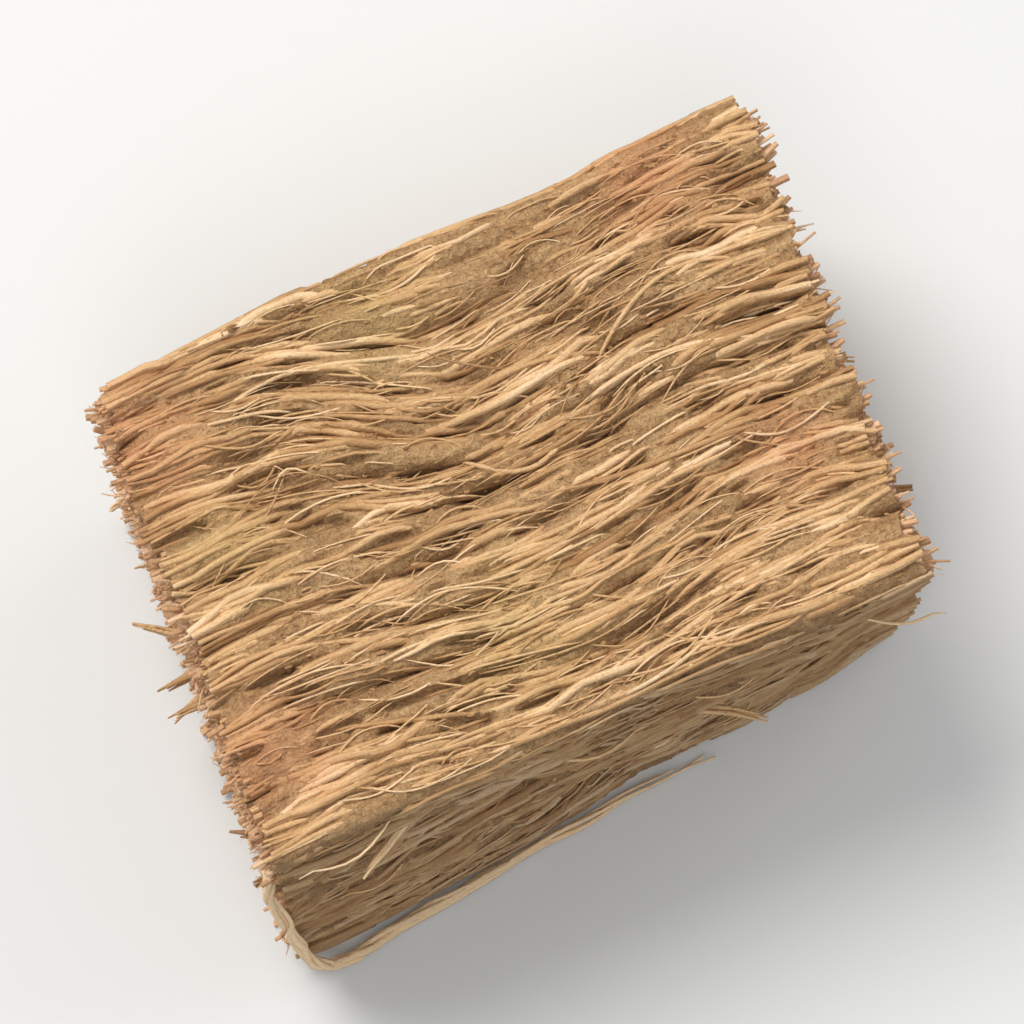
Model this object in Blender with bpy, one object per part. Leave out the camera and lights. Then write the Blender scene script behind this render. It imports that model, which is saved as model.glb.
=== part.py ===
"""A chip of coconut husk: a block of coir bundles, cut square across the grain.

X runs along the coir, Y across it and Z up. The origin is the middle of the flat spot that the chip
rests on. Lengths here are in millimetres, and MM turns them into metres where the mesh is made.
"""

import math
import random

import bmesh
import bpy
from mathutils import Vector, noise

MM = 0.001

# Corners of the block, by their sides: left or right, front or back, bottom or top.
CORNERS = {
    (-1, -1, -1): (-10.2, -8.3, 0.0),
    (1, -1, -1): (9.6, -6.6, 0.0),
    (1, 1, -1): (10.0, 7.2, 0.0),
    (-1, 1, -1): (-9.0, 6.9, 0.0),
    (-1, -1, 1): (-10.6, -7.5, 11.4),
    (1, -1, 1): (9.4, -7.7, 12.0),
    (1, 1, 1): (10.5, 7.7, 12.2),
    (-1, 1, 1): (-9.3, 7.5, 11.6),
}
HALF_LENGTH = 10.0
HALF_WIDTH = 7.6
HALF_HEIGHT = 6.0
HALVES = Vector((HALF_LENGTH, HALF_WIDTH, HALF_HEIGHT))
EDGE_RADIUS = 0.8
SWELL = 0.35
SWELL_LENGTH = 6.0
# The same noise is read this far apart for each bundle and each face, so that they differ.
BUNDLE_APART = 9.7
FACE_APART = 31.0
REST_SPOT = (5.6, 3.6)
REST_EASING = 1.2

# Bundles of coir, which show as ridges with grooves between them.
BUNDLES_ACROSS = 10
BUNDLES_UP = 7
UNEVEN_WIDTH = 0.28
EDGE_BUNDLE = 0.6
RIDGE_FULLNESS = 0.6
GROOVE_LEAST = 0.15
GROOVE_MORE = 0.5
GROOVE_DASH = 2.0
DASH_FIRMNESS = 1.5
CREST_DROP = 0.4
CREST_LENGTH = 4.5
GROOVE_REACH = 4.0
EDGE_FIRMNESS = 1.7

# Pits in the top face, where pith has fallen out: place along and across, half length, half width, depth.
PITS = [
    (0.6, 1.4, 1.7, 0.55, 0.7),
    (-4.5, 3.6, 1.3, 0.5, 0.5),
    (6.2, -0.4, 2.0, 0.45, 0.5),
    (-8.2, -3.1, 1.1, 0.5, 0.5),
    (6.4, 6.0, 1.3, 0.6, 0.5),
    (4.6, -2.7, 1.5, 0.4, 0.4),
    (-2.6, -5.2, 1.4, 0.4, 0.4),
]

# The coir sways as it runs along the block, and behind the middle it drops forwards over one stretch.
SWAY = 0.28
SWAY_LENGTH = 15.0
SWAY_CREST = -8.0
DROP = 1.8
DROP_FROM = -6.0
DROP_TO = 0.3
DROP_BACKWARD = (-0.1, 0.5)
DROP_LEFT_OVER = -0.35
RISE_SWAY = 0.35
RISE_LENGTH = 13.0
RIPPLE = 0.12
RIPPLE_LENGTH = 3.4

# Cut ends, where each bundle stops at its own length and the bundles' outlines wander aside.
END_REACH = 2.4
END_DIP = 0.3
END_STUD = 0.42
END_UNEVEN = 0.32
END_SWELL = 0.3
END_TURN = 0.8
END_TURN_LENGTH = 2.2

# Loose coir.
STRAND_RADIUS = 0.19
TIP_SHARE = 0.6
STRAND_ROOT = 1.6
STRAND_LOWEST = 0.45
END_STRANDS = (4, 2)
END_STRAND_REACH = (0.85, 0.75)
END_STRAND_LENGTHS = (0.6, 1.7)
END_STRAND_SLOPE = 0.4
END_STRAND_STEPS = 3
PEEL_ROOT = 0.7
PEEL_LENGTHS = (3.0, 4.5)
PEEL_LIFT = 0.9
PEEL_CURL = 1.6
PEEL_STEPS = 4
# Where a fibre peels off a long side: along, which side, up, and the way it runs.
PEELS = [
    (-0.35, 1, 0.5, 1),
    (0.3, 1, -0.3, -1),
    (0.1, -1, 0.1, 1),
    (-0.45, -1, 0.6, -1),
]

# A long pale strand that comes out of the left end, drops round the corner and lies along the front.
LONG_STRAND_RADIUS = 0.24
LONG_STRAND = [
    (-9.0, -6.2, 9.4),
    (-10.6, -6.8, 9.4),
    (-11.1, -7.5, 8.6),
    (-10.95, -8.1, 6.6),
    (-10.7, -8.35, 4.2),
    (-10.4, -8.6, 2.0),
    (-9.5, -8.8, 0.75),
    (-7.6, -8.5, 0.45),
    (-4.6, -8.2, 0.4),
    (-1.4, -7.85, 0.4),
    (1.8, -7.6, 0.4),
    (4.4, -7.7, 0.4),
]

# How finely the block is divided.
STEPS_ALONG = 18
STEPS_EDGE_BUNDLE = 2
STEPS_BUNDLE = 3
END_STEPS = (0.045, 0.13)

HUSK_COLOUR = (0.456, 0.266, 0.122, 1.0)
HUSK_ROUGHNESS = 0.9
SMOOTH_ANGLE = math.radians(40)


def clear_scene():
    for obj in list(bpy.data.objects):
        bpy.data.objects.remove(obj, do_unlink=True)


def ease(value):
    """0 below 0, 1 above 1 and smooth between."""
    value = min(max(value, 0.0), 1.0)
    return value * value * (3 - 2 * value)


def mix(first, second, share):
    return first + (second - first) * share


def wander(length, *place):
    """Smooth noise from about -1 to 1 that changes over a length."""
    return noise.noise(Vector(place) / length)


def groove_places(count, seed):
    """Where the grooves between the bundles lie, from -1 to 1 across a face."""
    draw = random.Random(seed)
    widths = [EDGE_BUNDLE] + [1 + draw.uniform(-UNEVEN_WIDTH, UNEVEN_WIDTH) for _ in range(count)]
    whole = sum(widths) + EDGE_BUNDLE
    places = []
    reached = 0.0
    for width in widths:
        reached += width
        places.append(2 * reached / whole - 1)
    return places


class Bundles:
    """The bundles as they are met in one direction, on a face and on the face opposite."""

    def __init__(self, axis, count, seeds):
        self.axis = axis
        self.other = 3 - axis
        self.first, self.second = (groove_places(count, seed) for seed in seeds)

    def grooves(self, spot):
        """The grooves in the slice that holds a spot: they run on from face to face."""
        share = (spot[self.other] + 1) / 2
        return [mix(a, b, share) for a, b in zip(self.first, self.second)]

    def at(self, spot):
        """The number of the bundle at a spot, how far across it the spot is, and its ridge there."""
        grooves = self.grooves(spot)
        stops = [-2 - grooves[0]] + grooves + [2 - grooves[-1]]
        number = sum(1 for groove in grooves if groove <= spot[self.axis])
        share = (spot[self.axis] - stops[number]) / (stops[number + 1] - stops[number])
        share = min(max(share, 0.0), 1.0)
        return number, share, math.sin(math.pi * share) ** RIDGE_FULLNESS

    def rows(self, spot):
        """Rows of points through a spot's slice: a groove, two shoulders, a groove and so on."""
        stops = [-1.0] + self.grooves(spot) + [1.0]
        last = len(stops) - 2
        places = [-1.0]
        for number in range(len(stops) - 1):
            steps = STEPS_EDGE_BUNDLE if number in (0, last) else STEPS_BUNDLE
            for step in range(1, steps + 1):
                places.append(mix(stops[number], stops[number + 1], step / steps))
        return places


ACROSS = Bundles(axis=1, count=BUNDLES_ACROSS, seeds=(5, 3))
UP = Bundles(axis=2, count=BUNDLES_UP, seeds=(11, 7))

# The long faces: the axis that each faces along, which way, and the bundles that show in it.
FACES = ((2, 1, ACROSS), (2, -1, ACROSS), (1, 1, UP), (1, -1, UP))


def sunk(x, spot, face):
    """How far the coir of a long face lies below the flat block."""
    axis, sign, bundles = face
    number, share, ridge = bundles.at(spot)
    own = FACE_APART * (2 * axis + sign)
    dash = wander(GROOVE_DASH, x, BUNDLE_APART * (number + round(share)), own)
    dash = ease(0.5 + DASH_FIRMNESS * dash)
    drop = max(0.0, wander(CREST_LENGTH, x, BUNDLE_APART * number, own))
    from_edge = (1 - abs(spot[bundles.axis])) * HALVES[bundles.axis]
    depth = (GROOVE_LEAST + GROOVE_MORE * dash) * (1 - ridge) + CREST_DROP * drop * ridge
    return depth * ease(from_edge / EDGE_FIRMNESS)


def round_edges(spot):
    """Brings a spot on the faces of the cube from -1 to 1 in onto the rounded block."""
    place = Vector(a * b for a, b in zip(spot, HALVES))
    core = Vector(math.copysign(min(abs(a), b - EDGE_RADIUS), a) for a, b in zip(place, HALVES))
    place = core + (place - core).normalized() * EDGE_RADIUS
    return Vector(a / b for a, b in zip(place, HALVES))


def in_block(spot):
    """The place, between the eight corners, of a spot from -1 to 1 each way."""
    place = Vector()
    for signs, corner in CORNERS.items():
        share = math.prod((1 + sign * value) / 2 for sign, value in zip(signs, spot))
        place += share * Vector(corner)
    return place


def sway(place, spot):
    """How far the coir has swayed across and up, where it runs through a place."""
    ripple = RIPPLE * wander(RIPPLE_LENGTH, *place)
    wave = SWAY * math.cos(2 * math.pi * (place.x - SWAY_CREST) / SWAY_LENGTH)
    dropped = ease((place.x - DROP_FROM) / (DROP_TO - DROP_FROM))
    first, second = DROP_BACKWARD
    drop = DROP * mix(1.0, DROP_LEFT_OVER, dropped) * ease((spot[1] - first) / (second - first))
    drop *= mix(0.5, 1.0, ease((spot[2] + 1) / 2)) * (1 - spot[1] ** 2)
    up = RISE_SWAY * math.sin(2 * math.pi * (place.x + place.y) / RISE_LENGTH) + ripple
    return Vector((0.0, drop + (wave + ripple) * (1 - spot[1] ** 4), up * (1 - spot[2] ** 4)))


def end_length(spot):
    """How far the bundle at a spot stands out of the cut end, or stops short of it."""
    side = math.copysign(FACE_APART, spot[0])
    place = Vector((side, HALF_WIDTH * spot[1], HALF_HEIGHT * spot[2]))
    turned = spot.copy()
    for axis in (1, 2):
        aside = END_TURN * wander(END_TURN_LENGTH, side + axis * BUNDLE_APART, place.y, place.z)
        turned[axis] += aside / HALVES[axis] * (1 - max(abs(spot[1]), abs(spot[2])) ** 4)
    column, _, ridge_across = ACROSS.at(turned)
    row, _, ridge_up = UP.at(turned)
    own = random.Random(f"{column} {row} {side > 0}").uniform(-END_UNEVEN, END_UNEVEN)
    broad = wander(SWELL_LENGTH, *place)
    return (END_STUD + own) * ridge_across * ridge_up - END_DIP + END_SWELL * broad


def pitted(place):
    """How deep the pits of the top face are at a place."""
    depth = 0.0
    for along, across, half_length, half_width, full_depth in PITS:
        away = math.hypot((place.x - along) / half_length, (place.y - across) / half_width)
        depth += full_depth * ease(1 - away)
    return depth


def husk_place(spot):
    """The finished place of a spot on the cube from -1 to 1: the whole shape of the block."""
    place = in_block(round_edges(spot))
    x = place.x
    place += sway(place, spot)
    for face in FACES:
        axis, sign, _ = face
        near = 1 - (1 - sign * spot[axis]) * HALVES[axis] / GROOVE_REACH
        if near > 0:
            place[axis] -= sign * near * sunk(x, spot, face)
    swell = SWELL * wander(SWELL_LENGTH, *place)
    place.y += swell * spot[1]
    place.z += swell * max(spot[2], 0.0)
    if spot[2] == 1:
        place.z -= pitted(place)
    near_end = ease(1 - (1 - abs(spot[0])) * HALF_LENGTH / END_REACH)
    place.x += math.copysign(near_end * end_length(spot), spot[0])
    if spot[2] == -1:
        beyond = max(abs(place.x) - REST_SPOT[0] / 2, abs(place.y) - REST_SPOT[1] / 2)
        place.z = max(0.0, place.z * ease(beyond / REST_EASING))
    return place


def spots_along():
    """Steps from -1 to 1 along the block, closer at the cut ends."""
    first, second = END_STEPS
    middle_steps = STEPS_ALONG - 4
    middle = [mix(second - 1, 1 - second, step / middle_steps) for step in range(middle_steps + 1)]
    return [-1.0, first - 1] + middle + [1 - first, 1.0]


def spot_on_cube(along, index):
    """The spot of one point of the grid, which lies on a row across and on a row up."""
    spot = Vector((along[index[0]], 0.0, 0.0))
    for _ in range(6):
        spot[1] = ACROSS.rows(spot)[index[1]]
        spot[2] = UP.rows(spot)[index[2]]
    return spot


def husk_block():
    """The block: a cube divided along its bundles, with each point moved to its place on the husk."""
    along = spots_along()
    centre = Vector()
    steps = [len(rows) - 1 for rows in (along, ACROSS.rows(centre), UP.rows(centre))]
    grid = bmesh.new()
    bmesh.ops.create_cube(grid, size=2.0)
    for axis in range(3):
        edges = [e for e in grid.edges if abs(e.verts[0].co[axis] - e.verts[1].co[axis]) > 1]
        bmesh.ops.subdivide_edges(grid, edges=edges, cuts=steps[axis] - 1, use_grid_fill=True)
    for vert in grid.verts:
        index = [round((value + 1) / 2 * count) for value, count in zip(vert.co, steps)]
        vert.co = husk_place(spot_on_cube(along, index)) * MM
    bmesh.ops.triangulate(grid, faces=grid.faces[:])
    mesh = bpy.data.meshes.new("husk_chip")
    grid.to_mesh(mesh)
    grid.free()
    return mesh


def strand(name, points, radius, collection):
    """A loose strand of coir: a thin tapering rod through some points."""
    curve = bpy.data.curves.new(name, "CURVE")
    curve.dimensions = "3D"
    curve.bevel_depth = radius * MM
    curve.bevel_resolution = 0
    curve.use_fill_caps = True
    spline = curve.splines.new("POLY")
    spline.points.add(len(points) - 1)
    for number, (point, place) in enumerate(zip(spline.points, points)):
        point.co = (*(Vector(place) * MM), 1.0)
        point.radius = mix(1.0, TIP_SHARE, number / (len(points) - 1))
    rod = bpy.data.objects.new(name, curve)
    mesh = bpy.data.meshes.new_from_object(rod)
    bpy.data.objects.remove(rod)
    collection.objects.link(bpy.data.objects.new(name, mesh))


def end_strands(collection):
    """Fibre ends that stand out of both cut ends."""
    draw = random.Random(21)
    columns, rows = END_STRANDS
    for sign in (-1, 1):
        for number in range(columns * rows):
            across = 2 * (number % columns + draw.uniform(0.1, 0.9)) / columns - 1
            up = 2 * (number // columns + draw.uniform(0.1, 0.9)) / rows - 1
            root = in_block((sign, across * END_STRAND_REACH[0], up * END_STRAND_REACH[1]))
            root.x -= sign * STRAND_ROOT
            length = STRAND_ROOT + draw.uniform(*END_STRAND_LENGTHS)
            slope = Vector((0, draw.uniform(-1, 1), draw.uniform(-1, 1))) * END_STRAND_SLOPE
            points = []
            for step in range(END_STRAND_STEPS + 1):
                share = step / END_STRAND_STEPS
                point = root + Vector((sign * length * share, 0, 0)) + slope * length * share**2
                point.z = max(point.z, STRAND_LOWEST)
                points.append(point)
            strand(f"end_strand_{sign}_{number}", points, STRAND_RADIUS, collection)


def peeling_strands(collection):
    """Fibres that have lifted off the long sides at one end."""
    draw = random.Random(34)
    for number, (along, side, up, way) in enumerate(PEELS):
        root = in_block((along, side, up))
        root.y -= side * PEEL_ROOT
        length = draw.uniform(*PEEL_LENGTHS)
        rise = draw.uniform(-PEEL_LIFT, PEEL_LIFT)
        points = []
        for step in range(PEEL_STEPS + 1):
            share = step / PEEL_STEPS
            lift = side * (PEEL_ROOT + PEEL_LIFT) * share**PEEL_CURL
            points.append(root + Vector((way * length * share, lift, rise * share**2)))
        strand(f"peeling_strand_{number}", points, STRAND_RADIUS, collection)


def between(before, first, second, after, t):
    """A point on a smooth curve that runs from first to second."""
    straight = 2 * first + (second - before) * t
    squared = (2 * before - 5 * first + 4 * second - after) * t**2
    cubed = (3 * first - before - 3 * second + after) * t**3
    return (straight + squared + cubed) / 2


def smooth_route(points, steps):
    """More points along a smooth curve through the given ones."""
    places = [Vector(point) for point in points]
    places = [2 * places[0] - places[1]] + places + [2 * places[-1] - places[-2]]
    route = [
        between(*places[number - 1 : number + 3], step / steps)
        for number in range(1, len(places) - 2)
        for step in range(steps)
    ]
    return route + [places[-2]]


def husk_material():
    material = bpy.data.materials.new("coconut husk")
    material.use_nodes = True
    shader = material.node_tree.nodes["Principled BSDF"]
    shader.inputs["Base Color"].default_value = HUSK_COLOUR
    shader.inputs["Roughness"].default_value = HUSK_ROUGHNESS
    shader.inputs["Metallic"].default_value = 0.0
    return material


def husk_chip():
    """The whole chip: its block with every loose strand joined on at its root."""
    chip = bpy.data.objects.new("husk_chip", husk_block())
    bpy.context.scene.collection.objects.link(chip)
    loose = bpy.data.collections.new("loose coir")
    bpy.context.scene.collection.children.link(loose)
    end_strands(loose)
    peeling_strands(loose)
    strand("long_strand", smooth_route(LONG_STRAND, 2), LONG_STRAND_RADIUS, loose)
    union = chip.modifiers.new("join loose coir", "BOOLEAN")
    union.operation = "UNION"
    union.operand_type = "COLLECTION"
    union.collection = loose
    union.solver = "EXACT"
    graph = bpy.context.evaluated_depsgraph_get()
    joined = bpy.data.meshes.new_from_object(chip.evaluated_get(graph))
    chip.modifiers.clear()
    chip.data = joined
    for obj in list(loose.objects):
        bpy.data.objects.remove(obj)
    bpy.data.collections.remove(loose)
    joined.materials.clear()
    joined.materials.append(husk_material())
    joined.shade_smooth()
    joined.set_sharp_from_angle(angle=SMOOTH_ANGLE)


clear_scene()
husk_chip()
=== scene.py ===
"""A chip of coconut husk, seen from nearly overhead as it lies on a pale floor.

X runs along the coir, Y across it and Z up, and the origin is the middle of the spot that the chip
rests on. Lengths are in millimetres until MM turns them into metres where a mesh is made.
"""

import math
import random

import bmesh
import bpy
import numpy as np
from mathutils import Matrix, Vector, noise


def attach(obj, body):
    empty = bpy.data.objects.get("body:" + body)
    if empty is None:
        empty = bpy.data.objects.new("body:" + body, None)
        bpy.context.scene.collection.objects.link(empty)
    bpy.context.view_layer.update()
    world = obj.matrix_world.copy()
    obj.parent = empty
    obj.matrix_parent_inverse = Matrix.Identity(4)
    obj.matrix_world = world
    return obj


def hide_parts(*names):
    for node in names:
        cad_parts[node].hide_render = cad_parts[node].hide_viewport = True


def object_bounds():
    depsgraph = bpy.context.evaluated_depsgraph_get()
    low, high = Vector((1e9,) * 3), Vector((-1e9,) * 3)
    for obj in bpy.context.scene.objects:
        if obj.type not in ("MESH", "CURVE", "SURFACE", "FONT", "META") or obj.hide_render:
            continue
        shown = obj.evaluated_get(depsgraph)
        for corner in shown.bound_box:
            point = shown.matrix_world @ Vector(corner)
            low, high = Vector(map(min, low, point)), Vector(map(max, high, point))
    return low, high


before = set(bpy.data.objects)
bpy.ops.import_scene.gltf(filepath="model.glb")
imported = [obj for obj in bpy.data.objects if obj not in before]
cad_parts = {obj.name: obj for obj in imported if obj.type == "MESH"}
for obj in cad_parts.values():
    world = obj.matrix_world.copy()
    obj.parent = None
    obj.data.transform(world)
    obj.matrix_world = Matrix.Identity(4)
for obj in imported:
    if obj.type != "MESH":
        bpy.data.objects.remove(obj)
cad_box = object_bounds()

MM = 0.001

# Corners of the block, by their sides: left or right, front or back, bottom or top.
CORNERS = {
    (-1, -1, -1): (-10.2, -8.3, 0.0),
    (1, -1, -1): (9.6, -6.6, 0.0),
    (1, 1, -1): (10.0, 7.2, 0.0),
    (-1, 1, -1): (-9.0, 6.9, 0.0),
    (-1, -1, 1): (-10.6, -7.5, 11.4),
    (1, -1, 1): (9.4, -7.7, 12.0),
    (1, 1, 1): (10.5, 7.7, 12.2),
    (-1, 1, 1): (-9.3, 7.5, 11.6),
}
HALF_LENGTH = 10.0
HALF_WIDTH = 7.6
HALF_HEIGHT = 6.0
HALVES = Vector((HALF_LENGTH, HALF_WIDTH, HALF_HEIGHT))
EDGE_RADIUS = 0.8
SWELL = 0.35
SWELL_LENGTH = 6.0
BUNDLE_APART = 9.7
FACE_APART = 31.0
REST_SPOT = (5.6, 3.6)
REST_EASING = 1.2

# Bundles of coir, which show as ridges with grooves between them.
BUNDLES_ACROSS = 10
BUNDLES_UP = 7
UNEVEN_WIDTH = 0.28
EDGE_BUNDLE = 0.6
RIDGE_FULLNESS = 0.6
GROOVE_LEAST = 0.15
GROOVE_MORE = 0.5
GROOVE_DASH = 2.0
DASH_FIRMNESS = 1.5
CREST_DROP = 0.4
CREST_LENGTH = 4.5
GROOVE_REACH = 4.0
EDGE_FIRMNESS = 1.7

# Pits in the top face, where pith has fallen out: place along and across, half length, half width, depth.
PIT_FILL = 0.7
PITS = [
    (0.6, 1.4, 1.7, 0.55, 0.7),
    (-4.5, 3.6, 1.3, 0.5, 0.5),
    (6.2, -0.4, 2.0, 0.45, 0.5),
    (-8.2, -3.1, 1.1, 0.5, 0.5),
    (6.4, 6.0, 1.3, 0.6, 0.5),
    (4.6, -2.7, 1.5, 0.4, 0.4),
    (-2.6, -5.2, 1.4, 0.4, 0.4),
]

# The coir sways as it runs along the block, and behind the middle it drops forwards over one stretch.
SWAY = 0.28
SWAY_LENGTH = 15.0
SWAY_CREST = -8.0
DROP = 1.8
DROP_FROM = -6.0
DROP_TO = 0.3
DROP_BACKWARD = (-0.1, 0.5)
DROP_LEFT_OVER = -0.35
DROP_AT_FOOT = 0.5
RISE_SWAY = 0.35
RISE_LENGTH = 13.0
RIPPLE = 0.12
RIPPLE_LENGTH = 3.4

# Cut ends, where each bundle stops at its own length and the bundles' outlines wander aside.
END_REACH = 2.4
END_DIP = 0.3
END_STUD = 0.42
END_UNEVEN = 0.32
END_SWELL = 0.3
END_TURN = 0.8
END_TURN_LENGTH = 2.2

# Narrow gaps where the coir parts, shaped like lenses.
GAP_LENGTH = 1.7
GAP_WIDTH = 0.42
GAP_FROM = 0.18
GAP_FIRMNESS = 4.0
GAP_DEPTH = 0.3

# Patches of pith that cover the coir in places.
PITH_LENGTH = 2.4
PITH_WIDTH = 0.65
PITH_FROM = 0.0
PITH_FIRMNESS = 3.5
PITH_COVER = 0.2

# The fine skin of the block: streaks along the coir and crumbly pith.
STEPS_ALONG = 150
STEPS_EDGE_BUNDLE = 7
STEPS_BUNDLE = 12
ROW_PASSES = 3
STREAK = 0.07
STREAK_LENGTH = 3.2
STREAK_WIDTH = 0.3
CRUMBLE = 0.09
CRUMBLE_LENGTH = 0.32
END_CRUMBLE = 0.12
END_CRUMBLE_LENGTH = 0.5
END_SKIN_STEEPNESS = 1.5
DEEPEST = 0.7
END_HOLLOW = 0.6
CUT_CREASE = 55
CRUMB_CREASE = 25

# Loose coir that stands out far enough to be part of the solid's outline.
STRAND_RADIUS = 0.16
STRAND_FIBRES = 4
STRAND_THICKNESS = (0.4, 0.65)
STRAND_KEPT = (0.88, 1.0)
STRAND_LEAST_POINTS = 4
STRAND_TWIST = 0.5
STRAND_TURN = 2.0
STRAND_TURN_LENGTH = 2.0
STRAND_STEP = 0.3
STRAND_SPREAD = 0.5
STRAND_UNEVEN = 0.12
STRAND_UNEVEN_LENGTH = 1.5
STRAND_TONES = (-0.2, 0.1)
STRAND_TIP = 0.35
STRAND_ROOT = 1.6
STRAND_LOWEST = 0.45
AXIS_APART = 7.3
END_STRANDS_SEED = 21
END_STRANDS = (4, 2)
END_STRAND_SPACE = (0.1, 0.9)
END_STRAND_REACH = (0.85, 0.75)
END_STRAND_LENGTHS = (0.6, 1.7)
END_STRAND_SLOPE = 0.4
END_STRAND_STEPS = 3
PEEL_SEED = 34
PEEL_ROOT = 0.7
PEEL_LENGTHS = (3.0, 4.5)
PEEL_LIFT = 0.9
PEEL_CURL = 1.6
PEEL_STEPS = 4
PEELS = [
    (-0.35, 1, 0.5, 1),
    (0.3, 1, -0.3, -1),
    (0.1, -1, 0.1, 1),
    (-0.45, -1, 0.6, -1),
]
LONG_STRAND_SEED = 8
LONG_STRAND_RADIUS = 0.22
LONG_STRAND_TONE = 1.3
LONG_STRAND = [
    (-9.0, -6.2, 9.4),
    (-10.6, -6.8, 9.4),
    (-11.1, -7.5, 8.6),
    (-10.95, -8.1, 6.6),
    (-10.7, -8.35, 4.2),
    (-10.4, -8.6, 2.0),
    (-9.5, -8.8, 0.75),
    (-7.6, -8.5, 0.45),
    (-4.6, -8.2, 0.4),
    (-1.4, -7.85, 0.4),
    (1.8, -7.6, 0.4),
    (4.4, -7.7, 0.4),
]

# Single fibres of coir that lie along the faces.
FIBRE_LAYERS = 2
FIBRE_PITCH = 0.17
FIBRE_REACH = 0.999 * HALF_LENGTH
FIBRE_BEYOND = 0.3
FIBRE_LENGTHS = (3.0, 9.0)
SHORTEST_FIBRE = 1.0
FIBRE_GAP = (0.0, 2.5)
FIBRE_STEP = 0.6
FIBRE_LEAST_STEPS = 4
FIBRE_RADII = (0.05, 0.15)
MOSTLY_THIN = 1.5
FIBRE_LIFT = (-0.2, 0.8)
FIBRE_WANDER = 0.24
FIBRE_WANDER_LENGTH = 3.0
FIBRE_ASIDE = 0.3
FIBRE_ASIDE_STEP = 0.12
FIBRE_DIVE = 0.3
DIVE_STEEPNESS = 6
FACE_MARGIN = 0.965
NOISE_PLACES = 1000

# How a fibre thins at its root and its tip, as shares of its radius, and over what share of its length.
FIBRE_END = 0.8
FIBRE_TIP = 0.5
TAPERED_SHARE = 0.25

# A lying fibre's tone: the least, then what its own draw, its neighbourhood and a hollow change; the
# hollow's share is painted shade, with some pith dust.
TONE_LEAST = 0.32
TONE_OWN = 0.5
TONE_GROUP = 0.45
TONE_HOLLOW_SHADE = 0.45
TONE_LENGTH = 5.0
TONE_WIDTH = 0.75

# Fibres that lie over the others at a slant: how many on each face, their lengths, slant and radii.
STRAYS = (14, (3.0, 8.0), 0.3, (0.05, 0.1))
FIBRILS = (420, (1.0, 4.5), 0.14, (0.018, 0.045))
STRAY_STEP = 0.25
STRAY_LEAST_STEPS = 3
STRAY_FROM_END = 0.2
STRAY_MARGIN = 0.95
STRAY_BEND = 0.28
STRAY_SETTLE = 0.22
STRAY_SPAN = 3
STRAY_TONES = (0.3, 1.0)
STRAY_ROOT = 0.5
STRAY_TIP = 0.4

# Fibre ends at the cuts.
CUT_FIBRES = 4600
CUT_FIBRE_LENGTHS = (0.02, 0.5)
MOSTLY_SHORT = 3.5
CUT_FIBRE_RADII = (0.045, 0.13)
CUT_FIBRE_TIPS = (0.7, 1.0)
CUT_FIBRE_ROOT = 0.35
CUT_FIBRE_SPLAY = 0.5
CUT_FIBRE_MARGIN = 0.97
CUT_FIBRE_HOLLOWS = (0.2, 1.0)
CUT_FIBRE_TONE = 0.15
CUT_FIBRE_HOLLOW_SHADE = 0.3
FRAY_FROM = 0.85
FRAY = 0.8

# Hairs that curl out of the cuts, and others that have sprung off the long faces.
TORN_HAIRS = 600
TORN_HAIR_LENGTHS = (0.2, 0.9)
TORN_HAIR_RADII = (0.012, 0.03)
TORN_HAIR_TONES = (0.5, 1.0)
TORN_HAIR_ROOT = 0.1
TORN_HAIR_CURL = 0.5
TORN_HAIR_STEPS = 4
HAIRS_SEED = 89
HAIRS = 60
HAIR_MARGIN = 0.9
HAIR_LENGTHS = (1.2, 3.5)
HAIR_RADII = (0.03, 0.055)
HAIR_TIP = 0.4
HAIR_SLANT = 0.35
HAIR_CURL = 0.9
HAIR_STEPS = 7
HAIR_ARCH = 0.12
HAIR_ARCHES = 1.15
HAIR_SUNK = 0.1
INSIDE_BOX = (0.1, 0.05)

# Crumbs of pith: on the cut ends, and where the long faces are hollow or covered with pith.
CRUMBS_SEED = 144
CRUMBS = 5000
CRUMBS_ON_ENDS = 0.3
CRUMBS_ON_PITH = 0.4
CRUMB_HOLLOWS = (0.1, 0.9)
CRUMB_MARGIN = 0.97
END_CRUMBS_LOWEST = -0.9
CRUMB_SIZES = (0.025, 0.085)
CRUMB_UNEVEN = (0.35, 1.4)
CRUMB_STRETCH = (0.8, 2.4)
CRUMB_FLATNESS = 0.8
CRUMB_LIFT = 0.2
CRUMB_OFF_FLOOR = 1.3

FLOOR_SIZE = 0.6
FLOOR_COLOUR = (0.66, 0.655, 0.64, 1.0)
FLOOR_ROUGHNESS = 0.8

# Lights: azimuth, elevation, distance and width in metres, power and colour.
LIGHTS = {
    "key": (202, 56, 0.5, 0.3, 2.3, (1.0, 0.975, 0.94)),
    "fill": (-30, 62, 0.6, 0.3, 0.75, (0.96, 0.98, 1.0)),
    "side": (95, 35, 0.6, 0.5, 0.8, (1.0, 0.99, 0.97)),
}
SKY_COLOUR = (0.9, 0.95, 1.0, 1.0)
SKY_STRENGTH = 0.46

CAMERA_AZIMUTH = -24.8
CAMERA_ELEVATION = 76.0
CAMERA_LENS = 300.0
CAMERA_SENSOR = 36.0
CAMERA_REACH = (0.01, 10.0)
VIEW_WIDTH = 30.0
VIEW_CENTRE = (0.2, 0.3, 6.3)


def ease(value):
    """0 below 0, 1 above 1 and smooth between."""
    value = min(max(value, 0.0), 1.0)
    return value * value * (3 - 2 * value)


def mix(first, second, share):
    return first + (second - first) * share


def wander(length, *place):
    """Smooth noise from about -1 to 1 that changes over a length."""
    return noise.noise(Vector(place) / length)


def aside(draw, most=1):
    """A length drawn from as far one way to as far the other."""
    return draw.uniform(-most, most)


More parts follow.
